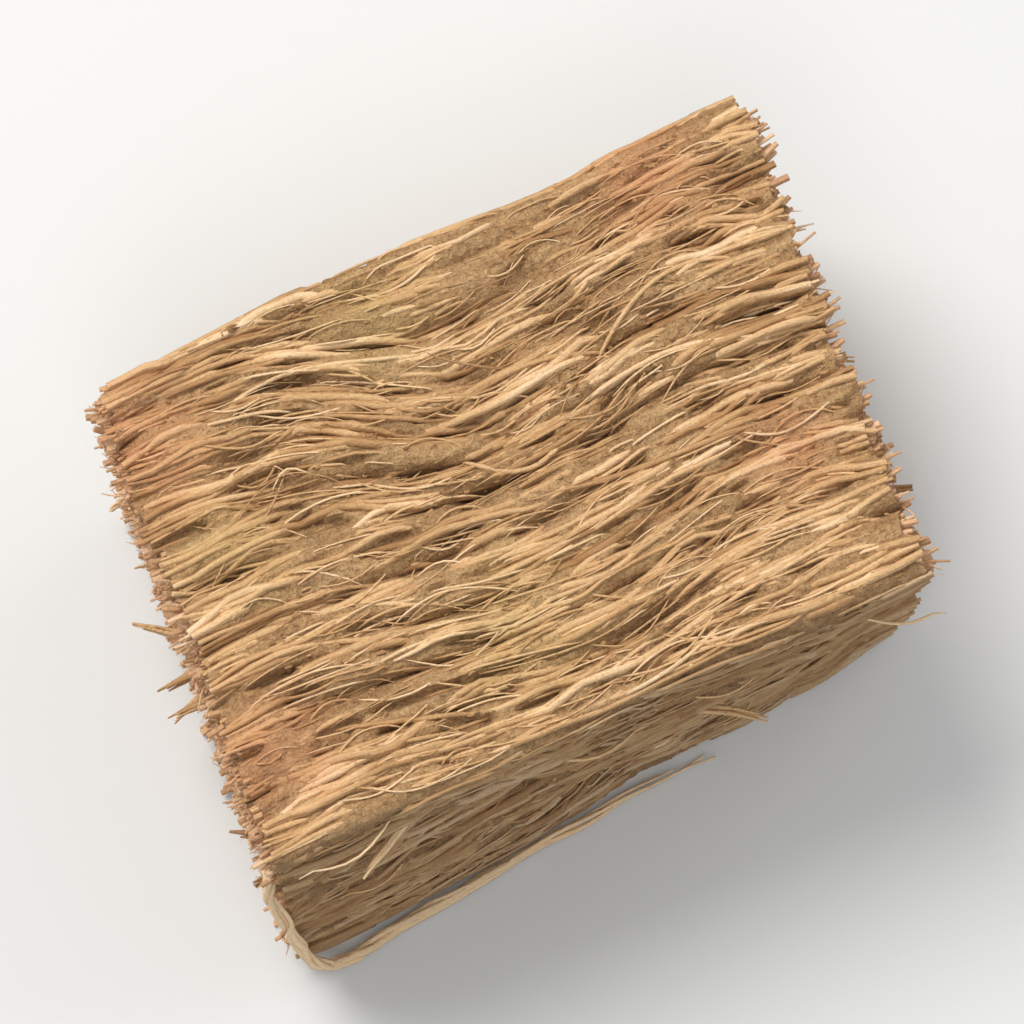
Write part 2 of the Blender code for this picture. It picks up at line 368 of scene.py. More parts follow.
def groove_places(count, seed):
    """Where the grooves between the bundles lie, from -1 to 1 across a face."""
    draw = random.Random(seed)
    widths = [EDGE_BUNDLE] + [1 + aside(draw, UNEVEN_WIDTH) for _ in range(count)]
    whole = sum(widths) + EDGE_BUNDLE
    places = []
    reached = 0.0
    for width in widths:
        reached += width
        places.append(2 * reached / whole - 1)
    return places


class Bundles:
    """The bundles as they are met in one direction, on a face and on the face opposite."""

    def __init__(self, axis, count, seeds):
        self.axis = axis
        self.other = 3 - axis
        self.first, self.second = (groove_places(count, seed) for seed in seeds)
        self.row_places = [(-1, 0.0)]
        for number in range(count + 2):
            steps = STEPS_EDGE_BUNDLE if number in (0, count + 1) else STEPS_BUNDLE
            self.row_places += [(number - 1, step / steps) for step in range(1, steps + 1)]

    def grooves(self, spot):
        """The grooves in the slice that holds a spot: they run on from face to face."""
        share = (spot[self.other] + 1) / 2
        return [mix(a, b, share) for a, b in zip(self.first, self.second)]

    def at(self, spot):
        """The number of the bundle at a spot, how far across it the spot is, and its ridge there."""
        grooves = self.grooves(spot)
        stops = [-2 - grooves[0]] + grooves + [2 - grooves[-1]]
        number = sum(1 for groove in grooves if groove <= spot[self.axis])
        share = (spot[self.axis] - stops[number]) / (stops[number + 1] - stops[number])
        share = min(max(share, 0.0), 1.0)
        return number, share, math.sin(math.pi * share) ** RIDGE_FULLNESS

    def row(self, spot, index):
        """The place of one row of points in a spot's slice."""
        number, step = self.row_places[index]
        share = (spot[self.other] + 1) / 2
        last = len(self.first)
        low = -1.0 if number < 0 else mix(self.first[number], self.second[number], share)
        number += 1
        high = 1.0 if number == last else mix(self.first[number], self.second[number], share)
        return mix(low, high, step)


ACROSS = Bundles(axis=1, count=BUNDLES_ACROSS, seeds=(5, 3))
UP = Bundles(axis=2, count=BUNDLES_UP, seeds=(11, 7))

# The long faces: the axis that each faces along, which way, and the bundles that show in it.
TOP_FACE = (2, 1, ACROSS)
BOTTOM_FACE = (2, -1, ACROSS)
BACK_FACE = (1, 1, UP)
FRONT_FACE = (1, -1, UP)
FACES = (TOP_FACE, BOTTOM_FACE, BACK_FACE, FRONT_FACE)


def noise_place(face):
    """Where a long face reads its noise, so that no two faces are alike."""
    axis, sign, _ = face
    return FACE_APART * (2 * axis + sign)


def parting(x, across, own):
    """Smooth noise that is high where the coir of a face parts."""
    return noise.noise(Vector((x / GAP_LENGTH, across / GAP_WIDTH, own)))


def pith_cover(x, across, own):
    """How much pith covers the coir of a face at a place, from 0 to 1."""
    patch = noise.noise(Vector((x / PITH_LENGTH, across / PITH_WIDTH, own + BUNDLE_APART)))
    return ease((patch - PITH_FROM) * PITH_FIRMNESS)


def sunk(x, spot, face, met):
    """How far the coir of a long face lies below the flat block, at the bundle that is met there."""
    bundles = face[2]
    number, share, ridge = met
    own = noise_place(face)
    dash = wander(GROOVE_DASH, x, BUNDLE_APART * (number + round(share)), own)
    dash = ease(0.5 + DASH_FIRMNESS * dash)
    drop = max(0.0, wander(CREST_LENGTH, x, BUNDLE_APART * number, own))
    across = spot[bundles.axis] * HALVES[bundles.axis]
    from_edge = HALVES[bundles.axis] - abs(across)
    depth = (GROOVE_LEAST + GROOVE_MORE * dash) * (1 - ridge) + CREST_DROP * drop * ridge
    depth += GAP_DEPTH * ease((parting(x, across, own) - GAP_FROM) * GAP_FIRMNESS)
    return depth * ease(from_edge / EDGE_FIRMNESS)


def round_edges(spot):
    """Brings a spot of the cube in onto the block with its long edges rounded, and gives the way out."""
    ring = max(abs(spot[1]), abs(spot[2]))
    if ring == 0:
        return spot, Vector((spot[0], 0.0, 0.0))
    half = HALVES.yz
    side = Vector(a * b for a, b in zip(spot.yz, half)) / ring
    core = Vector(math.copysign(min(abs(a), b - EDGE_RADIUS), a) for a, b in zip(side, half))
    way = (side - core).normalized()
    rounded = (core + way * EDGE_RADIUS) * ring
    rounded = Vector((spot[0], rounded[0] / half[0], rounded[1] / half[1]))
    if abs(spot[0]) < 1:
        return rounded, Vector((0.0, *way))
    if ring < 1:
        return rounded, Vector((spot[0], 0.0, 0.0))
    return rounded, Vector((spot[0], *way)).normalized()


def in_block(spot):
    """The place, between the eight corners, of a spot from -1 to 1 each way."""
    x, y, z = ((1 + value) / 2 for value in spot)
    place = Vector()
    for (right, back, top), corner in CORNERS.items():
        share = (x if right > 0 else 1 - x) * (y if back > 0 else 1 - y) * (z if top > 0 else 1 - z)
        place += share * Vector(corner)
    return place


def sway(place, spot):
    """How far the coir has swayed across and up, where it runs through a place."""
    ripple = RIPPLE * wander(RIPPLE_LENGTH, *place)
    wave = SWAY * math.cos(2 * math.pi * (place.x - SWAY_CREST) / SWAY_LENGTH)
    dropped = ease((place.x - DROP_FROM) / (DROP_TO - DROP_FROM))
    first, second = DROP_BACKWARD
    drop = DROP * mix(1.0, DROP_LEFT_OVER, dropped) * ease((spot[1] - first) / (second - first))
    drop *= mix(DROP_AT_FOOT, 1.0, ease((spot[2] + 1) / 2)) * (1 - spot[1] ** 2)
    up = RISE_SWAY * math.sin(2 * math.pi * (place.x + place.y) / RISE_LENGTH) + ripple
    return Vector((0.0, drop + (wave + ripple) * (1 - spot[1] ** 4), up * (1 - spot[2] ** 4)))


END_LENGTHS = {
    (column, row, right): random.Random(f"{column} {row} {right}").uniform(-END_UNEVEN, END_UNEVEN)
    for column in range(BUNDLES_ACROSS + 2)
    for row in range(BUNDLES_UP + 2)
    for right in (True, False)
}


def end_length(spot):
    """How far the bundle at a spot stands out of the cut end, or stops short of it."""
    side = math.copysign(FACE_APART, spot[0])
    place = Vector((side, HALF_WIDTH * spot[1], HALF_HEIGHT * spot[2]))
    turned = spot.copy()
    for axis in (1, 2):
        aside = END_TURN * wander(END_TURN_LENGTH, side + axis * BUNDLE_APART, place.y, place.z)
        turned[axis] += aside / HALVES[axis] * (1 - max(abs(spot[1]), abs(spot[2])) ** 4)
    column, _, ridge_across = ACROSS.at(turned)
    row, _, ridge_up = UP.at(turned)
    own = END_LENGTHS[column, row, side > 0]
    broad = wander(SWELL_LENGTH, *place)
    return (END_STUD + own) * ridge_across * ridge_up - END_DIP + END_SWELL * broad


def pitted(place):
    """How deep the pits of the top face are at a place."""
    depth = 0.0
    for along, across, half_length, half_width, full_depth in PITS:
        away = math.hypot((place.x - along) / half_length, (place.y - across) / half_width)
        depth += PIT_FILL * full_depth * ease(1 - away)
    return depth


def husk_place(spot):
    """The place of a spot of the cube on the husk, the way the surface faces there, and its hollow."""
    rounded, outward = round_edges(spot)
    place = in_block(rounded)
    x = place.x
    place += sway(place, spot)
    met = {ACROSS: ACROSS.at(spot), UP: UP.at(spot)}
    hollow = 0.0
    for face in FACES:
        axis, sign, bundles = face
        near = 1 - (1 - sign * spot[axis]) * HALVES[axis] / GROOVE_REACH
        if near > 0:
            depth = sunk(x, spot, face, met[bundles])
            place[axis] -= sign * near * depth
            hollow += depth * max(0.0, sign * outward[axis])
    swell = SWELL * wander(SWELL_LENGTH, *place)
    place.y += swell * spot[1]
    place.z += swell * max(spot[2], 0.0)
    if spot[2] == 1:
        pit = pitted(place)
        place.z -= pit
        hollow += pit
    near_end = ease(1 - (1 - abs(spot[0])) * HALF_LENGTH / END_REACH)
    if near_end > 0:
        length = end_length(spot)
        place.x += math.copysign(near_end * length, spot[0])
        hollow += END_HOLLOW * max(0.0, END_STUD / 2 - length) * abs(outward.x)
    if spot[2] == -1:
        beyond = max(abs(place.x) - REST_SPOT[0] / 2, abs(place.y) - REST_SPOT[1] / 2)
        place.z = max(0.0, place.z * ease(beyond / REST_EASING))
    return place, outward, hollow


def fine_skin(place, outward):
    """How far the streaks of the coir and the crumbly pith stand out of the plain husk."""
    x, y, z = place
    streak = STREAK * noise.noise(Vector((x / STREAK_LENGTH, y / STREAK_WIDTH, z / STREAK_WIDTH)))
    crumble = CRUMBLE * wander(CRUMBLE_LENGTH, x, y, z)
    end = END_CRUMBLE * wander(END_CRUMBLE_LENGTH, x, y, z)
    return mix(streak + crumble, end + crumble, ease(0.5 + END_SKIN_STEEPNESS * (abs(outward.x) - 0.5)))


def add_attribute(mesh, name, values):
    """Keeps one number for each point of a mesh, for its material to read."""
    mesh.attributes.new(name, "FLOAT", "POINT")
    mesh.attributes[name].data.foreach_set("value", np.asarray(values, dtype=np.float32))


def add_piece(name, mesh, material, crease=None):
    """Puts a finished mesh in the scene, as a piece that stands for the chip's solid."""
    piece = bpy.data.objects.new(name, mesh)
    bpy.context.scene.collection.objects.link(piece)
    mesh.materials.clear()
    mesh.materials.append(material)
    mesh.shade_smooth()
    if crease:
        mesh.set_sharp_from_angle(angle=math.radians(crease))
    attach(piece, "root")
    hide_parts("husk_chip")
    return piece


def husk_block(material):
    """The block itself, with its bundles, their cut ends and the pith between them."""
    steps = (STEPS_ALONG, len(ACROSS.row_places) - 1, len(UP.row_places) - 1)
    grid = bmesh.new()
    bmesh.ops.create_cube(grid, size=2.0)
    for axis in range(3):
        edges = [e for e in grid.edges if abs(e.verts[0].co[axis] - e.verts[1].co[axis]) > 1]
        bmesh.ops.subdivide_edges(grid, edges=edges, cuts=steps[axis] - 1, use_grid_fill=True)
    hollows = []
    cuts = []
    fronts = []
    for vert in grid.verts:
        index = [round((value + 1) / 2 * count) for value, count in zip(vert.co, steps)]
        spot = Vector((2 * index[0] / STEPS_ALONG - 1, 0.0, 0.0))
        for _ in range(ROW_PASSES):
            spot[1] = ACROSS.row(spot, index[1])
            spot[2] = UP.row(spot, index[2])
        place, outward, hollow = husk_place(spot)
        place += outward * fine_skin(place, outward)
        place.z = max(place.z, 0.0)
        vert.co = place * MM
        hollows.append(min(hollow / DEEPEST, 1.0))
        cuts.append(abs(outward.x))
        fronts.append(max(0.0, -outward.y))
    mesh = bpy.data.meshes.new("husk_block")
    grid.to_mesh(mesh)
    grid.free()
    # hollow, how deep a point lies in a groove, pit or gap, becomes painted shade; front becomes the
    # painted shade of the front face.
    add_attribute(mesh, "hollow", hollows)
    add_attribute(mesh, "cut", cuts)
    add_attribute(mesh, "front", fronts)
    return add_piece("husk_block", mesh, material, crease=CUT_CREASE)


class Fibre:
    """One fibre of coir: the points that it runs through, its tone at each from 0 to 1, and its radius."""

    def __init__(self, points, tones, radius, root=1.0, tip=FIBRE_TIP):
        self.points = points
        self.tones = tones if isinstance(tones, list) else [tones] * len(points)
        self.radius = radius
        self.root = root
        self.tip = tip


def fibre_mesh(name, fibres, sides=4):
    """All the fibres of one piece, as round tapering rods in one mesh."""
    curve = bpy.data.curves.new(name, "CURVE")
    curve.dimensions = "3D"
    curve.bevel_depth = MM
    curve.bevel_resolution = (sides - 4) // 2
    curve.use_fill_caps = True
    for fibre in fibres:
        spline = curve.splines.new("POLY")
        spline.points.add(len(fibre.points) - 1)
        last = len(fibre.points) - 1
        for number, (point, place) in enumerate(zip(spline.points, fibre.points)):
            point.co = (*(place * MM), 1.0)
            share = number / last
            from_root = ease(share / TAPERED_SHARE)
            from_tip = ease((1 - share) / TAPERED_SHARE)
            point.radius = fibre.radius * mix(fibre.root, 1.0, from_root) * mix(fibre.tip, 1.0, from_tip)
    rods = bpy.data.objects.new(name, curve)
    mesh = bpy.data.meshes.new_from_object(rods)
    bpy.data.objects.remove(rods)
    bpy.data.curves.remove(curve)
    # The mesh holds the caps of every rod, from the last rod to the first, and then their sides.
    of_caps = np.repeat([fibre.tones[0] for fibre in reversed(fibres)], 2 * sides)
    of_sides = np.repeat([tone for fibre in fibres for tone in fibre.tones], sides)
    add_attribute(mesh, "tone", np.concatenate((of_caps, of_sides)))
    return mesh


def lane_fibres(face, draw):
    """Fibres laid end to end in lanes across one long face, each partly sunk in the husk."""
    lanes = round(2 * HALVES[face[2].axis] / FIBRE_PITCH)
    fibres = []
    for lane in range(lanes):
        start = -HALF_LENGTH - draw.uniform(0, FIBRE_LENGTHS[0])
        while start < HALF_LENGTH - SHORTEST_FIBRE:
            length = draw.uniform(*FIBRE_LENGTHS)
            first = max(start, -FIBRE_REACH)
            last = min(start + length, FIBRE_REACH)
            centre = (2 * (lane + draw.random()) / lanes - 1) * FACE_MARGIN
            if last - first > SHORTEST_FIBRE:
                fibres.append(lying_fibre(face, first, last, centre, draw))
            start += length + draw.uniform(*FIBRE_GAP)
    return fibres


def on_face(face, x, across):
    """A spot of the cube on one long face."""
    axis, sign, bundles = face
    spot = Vector((x / HALF_LENGTH, 0.0, 0.0))
    spot[bundles.axis] = across
    spot[axis] = sign
    return spot


def lying_fibre(face, first, last, centre, draw):
    """One fibre that lies along a long face, bends round its gaps, and dives in or is cut at each end."""
    own = noise_place(face)
    reach = HALVES[face[2].axis]
    steps = max(FIBRE_LEAST_STEPS, round((last - first) / FIBRE_STEP))
    seed = draw.uniform(0, NOISE_PLACES)
    radius = mix(*FIBRE_RADII, draw.random() ** MOSTLY_THIN)
    lift = radius * draw.uniform(*FIBRE_LIFT)
    own_tone = draw.random()
    points = []
    tones = []
    for step in range(steps + 1):
        share = step / steps
        x = mix(first, last, share)
        y = centre * reach
        slope = parting(x, y + FIBRE_ASIDE_STEP, own) - parting(x, y - FIBRE_ASIDE_STEP, own)
        y += FIBRE_WANDER * wander(FIBRE_WANDER_LENGTH, x, seed, 0.0) - FIBRE_ASIDE * slope
        across = min(max(y / reach, -FACE_MARGIN), FACE_MARGIN)
        place, outward, hollow = husk_place(on_face(face, x, across))
        end_share = min(share if first > -FIBRE_REACH else 1, 1 - share if last < FIBRE_REACH else 1)
        dive = FIBRE_DIVE * (1 - ease(DIVE_STEEPNESS * end_share))
        under = PITH_COVER * pith_cover(x, y, own)
        points.append(place + outward * (lift - dive - under))
        group = noise.noise(Vector((x / TONE_LENGTH, y / TONE_WIDTH, own)))
        tone = TONE_LEAST + TONE_OWN * own_tone + TONE_GROUP * group
        # Painted shade with some pith dust: darker where the fibre lies in a hollow.
        tones.append(tone - TONE_HOLLOW_SHADE * hollow / DEEPEST)
    for end, inner, cut in ((0, 1, first <= -FIBRE_REACH), (-1, -2, last >= FIBRE_REACH)):
        if cut:
            way = (points[end] - points[inner]).normalized()
            points[end] += way * FIBRE_BEYOND * draw.random() ** 2
    return Fibre(points, tones, radius, root=FIBRE_END, tip=FIBRE_END)


def stray_fibre(face, lengths, most_slant, radii, draw):
    """One fibre that lies over the others at a slant, from crest to crest, and settles in at its ends."""
    axis, sign, bundles = face
    length = draw.uniform(*lengths)
    steps = max(STRAY_LEAST_STEPS, round(length / STRAY_STEP))
    x = draw.uniform(-HALF_LENGTH + STRAY_FROM_END, HALF_LENGTH - STRAY_FROM_END - length)
    across = aside(draw, STRAY_MARGIN)
    slant = aside(draw, most_slant) * length / HALVES[bundles.axis]
    bend = STRAY_BEND * draw.choice((-1, 1)) * draw.random() ** 2 * length / HALVES[bundles.axis]
    places = []
    for step in range(steps + 1):
        share = step / steps
        y = across + slant * (share - 0.5) + bend * math.sin(math.pi * share)
        y = min(max(y, -FACE_MARGIN), FACE_MARGIN)
        places.append(husk_place(on_face(face, x + length * share, y))[0])
    levels = [sign * place[axis] for place in places]
    for number, place in enumerate(places):
        near = levels[max(0, number - STRAY_SPAN) : number + STRAY_SPAN + 1]
        over = (sum(near) / len(near) + max(near)) / 2 + FIBRE_RADII[0]
        end_share = min(number, steps - number) / steps
        place[axis] = sign * mix(levels[number] - FIBRE_DIVE / 2, over, ease(end_share / STRAY_SETTLE))
    return Fibre(places, draw.uniform(*STRAY_TONES), draw.uniform(*radii), root=STRAY_ROOT, tip=STRAY_TIP)


def face_fibres(name, face, seed, material):
    """The fibres of one long face, as one piece."""
    draw = random.Random(seed)
    fibres = []
    for _ in range(FIBRE_LAYERS):
        fibres += lane_fibres(face, draw)
    for count, *kind in (STRAYS, FIBRILS):
        fibres += [stray_fibre(face, *kind, draw) for _ in range(count)]
    return add_piece(name, fibre_mesh(name, keep_off_floor(fibres)), material)


def keep_off_floor(fibres):
    """Lifts every fibre that would reach through the floor."""
    for fibre in fibres:
        for place in fibre.points:
            place.z = max(place.z, fibre.radius)
    return fibres


def cut_fibres(name, sign, seed, material):
    """Fibre ends that stand a little out of a cut end, longest along its edges, where it frays."""
    draw = random.Random(seed)
    fibres = []
    while len(fibres) < CUT_FIBRES:
        spot = Vector((sign, aside(draw, CUT_FIBRE_MARGIN), aside(draw, CUT_FIBRE_MARGIN)))
        place, _, hollow = husk_place(spot)
        if hollow / DEEPEST > draw.uniform(*CUT_FIBRE_HOLLOWS):
            continue
        splay = Vector((0, spot[1] + aside(draw), spot[2] + aside(draw)))
        way = (Vector((sign, 0, 0)) + splay * CUT_FIBRE_SPLAY * draw.random()).normalized()
        length = mix(*CUT_FIBRE_LENGTHS, draw.random() ** MOSTLY_SHORT)
        length *= 1 + FRAY * ease((max(abs(spot[1]), abs(spot[2])) - FRAY_FROM) / (1 - FRAY_FROM))
        # Painted shade: a fibre end darker where it stands in a hollow of the cut.
        tone = draw.random() + CUT_FIBRE_TONE - CUT_FIBRE_HOLLOW_SHADE * hollow / DEEPEST
        radius = mix(*CUT_FIBRE_RADII, draw.random() ** MOSTLY_THIN)
        points = [place - way * CUT_FIBRE_ROOT, place + way * length]
        fibres.append(Fibre(points, tone, radius, tip=draw.uniform(*CUT_FIBRE_TIPS)))
    fibres += [torn_hair(sign, draw) for _ in range(TORN_HAIRS)]
    mesh = fibre_mesh(name, keep_off_floor(fibres), sides=6)
    return add_piece(name, mesh, material, crease=CUT_CREASE)


def torn_hair(sign, draw):
    """A fine hair that curls out of a cut end, where a fibre tore."""
    across, up = (aside(draw, CUT_FIBRE_MARGIN) for _ in range(2))
    place = husk_place(Vector((sign, across, up)))[0]
    way = Vector((sign, across + aside(draw), up + aside(draw))).normalized()
    curl = Vector((0, aside(draw), aside(draw))) * TORN_HAIR_CURL
    length = mix(*TORN_HAIR_LENGTHS, draw.random() ** 2)
    points = []
    for step in range(TORN_HAIR_STEPS + 1):
        share = step / TORN_HAIR_STEPS
        points.append(place + (way * (share - TORN_HAIR_ROOT) + curl * share**2) * length)
    return Fibre(points, draw.uniform(*TORN_HAIR_TONES), draw.uniform(*TORN_HAIR_RADII))


def hairs(material):
    """Fine hairs that have sprung off the faces, each in a low arch that curls to one side."""
    draw = random.Random(HAIRS_SEED)
    fibres = []
    while len(fibres) < HAIRS:
        face = draw.choice((TOP_FACE, BACK_FACE, FRONT_FACE))
        x = HALF_LENGTH * aside(draw, HAIR_MARGIN)
        place, outward, _ = husk_place(on_face(face, x, aside(draw, HAIR_MARGIN)))
        length = draw.uniform(*HAIR_LENGTHS)
        way = Vector((draw.choice((-1, 1)), aside(draw, HAIR_SLANT), aside(draw, HAIR_SLANT))).normalized()
        curl = outward.cross(way) * aside(draw, HAIR_CURL)
        points = []
        for step in range(HAIR_STEPS + 1):
            share = step / HAIR_STEPS
            rise = HAIR_ARCH * length * math.sin(math.pi * min(share * HAIR_ARCHES, 1.0)) - HAIR_SUNK
            points.append(inside_box(place + way * length * share + curl * share**2 + outward * rise))
        fibres.append(Fibre(points, draw.random(), draw.uniform(*HAIR_RADII), tip=HAIR_TIP))
    return add_piece("fine_hairs", fibre_mesh("fine_hairs", keep_off_floor(fibres)), material)


def inside_box(place):
    """Keeps a point within the box of the solid."""
    low, high = (Vector(corner) / MM for corner in cad_box)
    above, below = INSIDE_BOX
    return Vector(min(max(value, a + above), b - below) for value, a, b in zip(place, low, high))


def between(before, first, second, after, t):
    """A point on a smooth curve that runs from first to second."""
    straight = 2 * first + (second - before) * t
    squared = (2 * before - 5 * first + 4 * second - after) * t**2
    cubed = (3 * first - before - 3 * second + after) * t**3
    return (straight + squared + cubed) / 2


def smooth_route(points, steps):
    """More points along a smooth curve through the given ones."""
    places = [Vector(point) for point in points]
    places = [2 * places[0] - places[1]] + places + [2 * places[-1] - places[-2]]
    route = [
        between(*places[number - 1 : number + 3], step / steps)
        for number in range(1, len(places) - 2)
        for step in range(steps)
    ]
    return route + [places[-2]]


def twisted_strand(points, radius, tone, draw):
    """A loose strand along a route: a few fibres that turn slowly round each other and end unevenly."""
    ends = [Vector(point) for point in points]
    length = sum((b - a).length for a, b in zip(ends, ends[1:]))
    route = smooth_route(points, max(2, round(length / (len(points) - 1) / STRAND_STEP)))
    own = draw.uniform(0, NOISE_PLACES)
    fibres = []
    for number in range(STRAND_FIBRES):
        thick = radius * draw.uniform(*STRAND_THICKNESS)
        kept = max(STRAND_LEAST_POINTS, round(len(route) * draw.uniform(*STRAND_KEPT)))
        places = []
        for step, place in enumerate(route[:kept]):
            run = step * STRAND_STEP
            along = (route[min(step + 1, len(route) - 1)] - route[max(step - 1, 0)]).normalized()
            side = along.orthogonal().normalized()
            turn = 2 * math.pi * number / STRAND_FIBRES + STRAND_TWIST * run
            turn += STRAND_TURN * wander(STRAND_TURN_LENGTH, own, number, run)
            spread = 1 + STRAND_SPREAD * wander(STRAND_UNEVEN_LENGTH, own, run, number)
            offset = side * math.cos(turn) + along.cross(side) * math.sin(turn)
            uneven = [wander(STRAND_UNEVEN_LENGTH, own + AXIS_APART * axis, run, 0.0) for axis in range(3)]
            places.append(place + offset * (radius - thick) * spread + Vector(uneven) * STRAND_UNEVEN)
        fibres.append(Fibre(places, tone + draw.uniform(*STRAND_TONES), thick, tip=STRAND_TIP))
    return fibres


def end_strands():
    """Longer fibre ends that stand out of both cut ends."""
    draw = random.Random(END_STRANDS_SEED)
    columns, rows = END_STRANDS
    fibres = []
    for sign in (-1, 1):
        for number in range(columns * rows):
            across = 2 * (number % columns + draw.uniform(*END_STRAND_SPACE)) / columns - 1
            up = 2 * (number // columns + draw.uniform(*END_STRAND_SPACE)) / rows - 1
            root = in_block((sign, across * END_STRAND_REACH[0], up * END_STRAND_REACH[1]))
            root.x -= sign * STRAND_ROOT
            length = STRAND_ROOT + draw.uniform(*END_STRAND_LENGTHS)
            slope = Vector((0, aside(draw), aside(draw))) * END_STRAND_SLOPE
            points = []
            for step in range(END_STRAND_STEPS + 1):
                share = step / END_STRAND_STEPS
                point = root + Vector((sign * length * share, 0, 0)) + slope * length * share**2
                point.z = max(point.z, STRAND_LOWEST)
                points.append(point)
            fibres += twisted_strand(points, STRAND_RADIUS, number % columns / (columns - 1), draw)
    return fibres


def peeling_strands():
    """Fibres that have lifted off the long sides at one end."""
    draw = random.Random(PEEL_SEED)
    fibres = []
    for number, (along, side, up, way) in enumerate(PEELS):
        root = in_block((along, side, up))
        root.y -= side * PEEL_ROOT
        length = draw.uniform(*PEEL_LENGTHS)
        rise = aside(draw, PEEL_LIFT)
        points = []
        for step in range(PEEL_STEPS + 1):
            share = step / PEEL_STEPS
            lift = side * (PEEL_ROOT + PEEL_LIFT) * share**PEEL_CURL
            points.append(root + Vector((way * length * share, lift, rise * share**2)))
        fibres += twisted_strand(points, STRAND_RADIUS, number / (len(PEELS) - 1), draw)
    return fibres


def loose_strands(material):
    """The strands that the solid has too, along the same routes, each of a few fibres."""
    draw = random.Random(LONG_STRAND_SEED)
    long_strand = twisted_strand(LONG_STRAND, LONG_STRAND_RADIUS, LONG_STRAND_TONE, draw)
    fibres = end_strands() + peeling_strands() + long_strand
    return add_piece("loose_strands", fibre_mesh("loose_strands", fibres), material)


def crumb_spot(draw):
    """A spot for a crumb on a cut end or a long face, and how much pith covers the coir there."""
    if draw.random() < CRUMBS_ON_ENDS:
        side = draw.choice((-1, 1))
        across = aside(draw, CRUMB_MARGIN)
        return Vector((side, across, draw.uniform(END_CRUMBS_LOWEST, CRUMB_MARGIN))), 0.0
    face = draw.choice(FACES)
    across = aside(draw, CRUMB_MARGIN)
    spot = on_face(face, HALF_LENGTH * aside(draw, CRUMB_MARGIN), across)
    covered = pith_cover(HALF_LENGTH * spot[0], HALVES[face[2].axis] * across, noise_place(face))
    return spot, covered


def crumb_mesh(place, size, draw):
    """One uneven crumb, mostly drawn out along the coir."""
    crumb = bmesh.new()
    bmesh.ops.create_icosphere(crumb, subdivisions=1, radius=size)
    for vert in crumb.verts:
        vert.co *= draw.uniform(*CRUMB_UNEVEN)
    bmesh.ops.scale(crumb, verts=crumb.verts, vec=(draw.uniform(*CRUMB_STRETCH), 1.0, CRUMB_FLATNESS))
    bmesh.ops.translate(crumb, verts=crumb.verts, vec=place)
    bmesh.ops.scale(crumb, verts=crumb.verts, vec=(MM, MM, MM))
    mesh = bpy.data.meshes.new("crumb")
    crumb.to_mesh(mesh)
    crumb.free()
    return mesh


def pith_crumbs(material):
    """Crumbs of pith in the grooves, on the patches of pith and on the cut ends."""
    draw = random.Random(CRUMBS_SEED)
    crumbs = bmesh.new()
    tones = []
    made = 0
    while made < CRUMBS:
        spot, covered = crumb_spot(draw)
        place, outward, hollow = husk_place(spot)
        if hollow / DEEPEST + CRUMBS_ON_PITH * covered < draw.uniform(*CRUMB_HOLLOWS):
            continue
        made += 1
        size = mix(*CRUMB_SIZES, draw.random() ** 2)
        place = place + outward * size * CRUMB_LIFT
        place.z = max(place.z, size * CRUMB_OFF_FLOOR)
        crumb = crumb_mesh(place, size, draw)
        tones += [draw.random()] * len(crumb.vertices)
        crumbs.from_mesh(crumb)
        bpy.data.meshes.remove(crumb)
    mesh = bpy.data.meshes.new("pith_crumbs")
    crumbs.to_mesh(mesh)
    crumbs.free()
    add_attribute(mesh, "tone", tones)
    return add_piece("pith_crumbs", mesh, material, crease=CRUMB_CREASE)


class Term:
    """A socket of a shader, so that a sum on it is written as a sum."""

    def __init__(self, finish, socket):
        self.finish = finish
        self.socket = socket

    def worked(self, operation, first, second):
        return self.finish.node("Math", {"operation": operation}, {0: first, 1: second})

    def __add__(self, other):
        return self.worked("ADD", self, other)

    __radd__ = __add__

    def __sub__(self, other):
        return self.worked("SUBTRACT", self, other)

    def __rsub__(self, other):
        return self.worked("SUBTRACT", other, self)

    def __mul__(self, other):
        return self.worked("MULTIPLY", self, other)

    __rmul__ = __mul__

    def or_more(self, other):
        return self.worked("MAXIMUM", self, other)

    def within(self):
        """The same value, kept from 0 to 1."""
        return self.finish.node("Clamp", {}, {"Value": self})

    def between(self, low, high):
        """0 up to the low value, 1 from the high one on, and even between."""
        return ((self - low) * (1 / (high - low))).within()


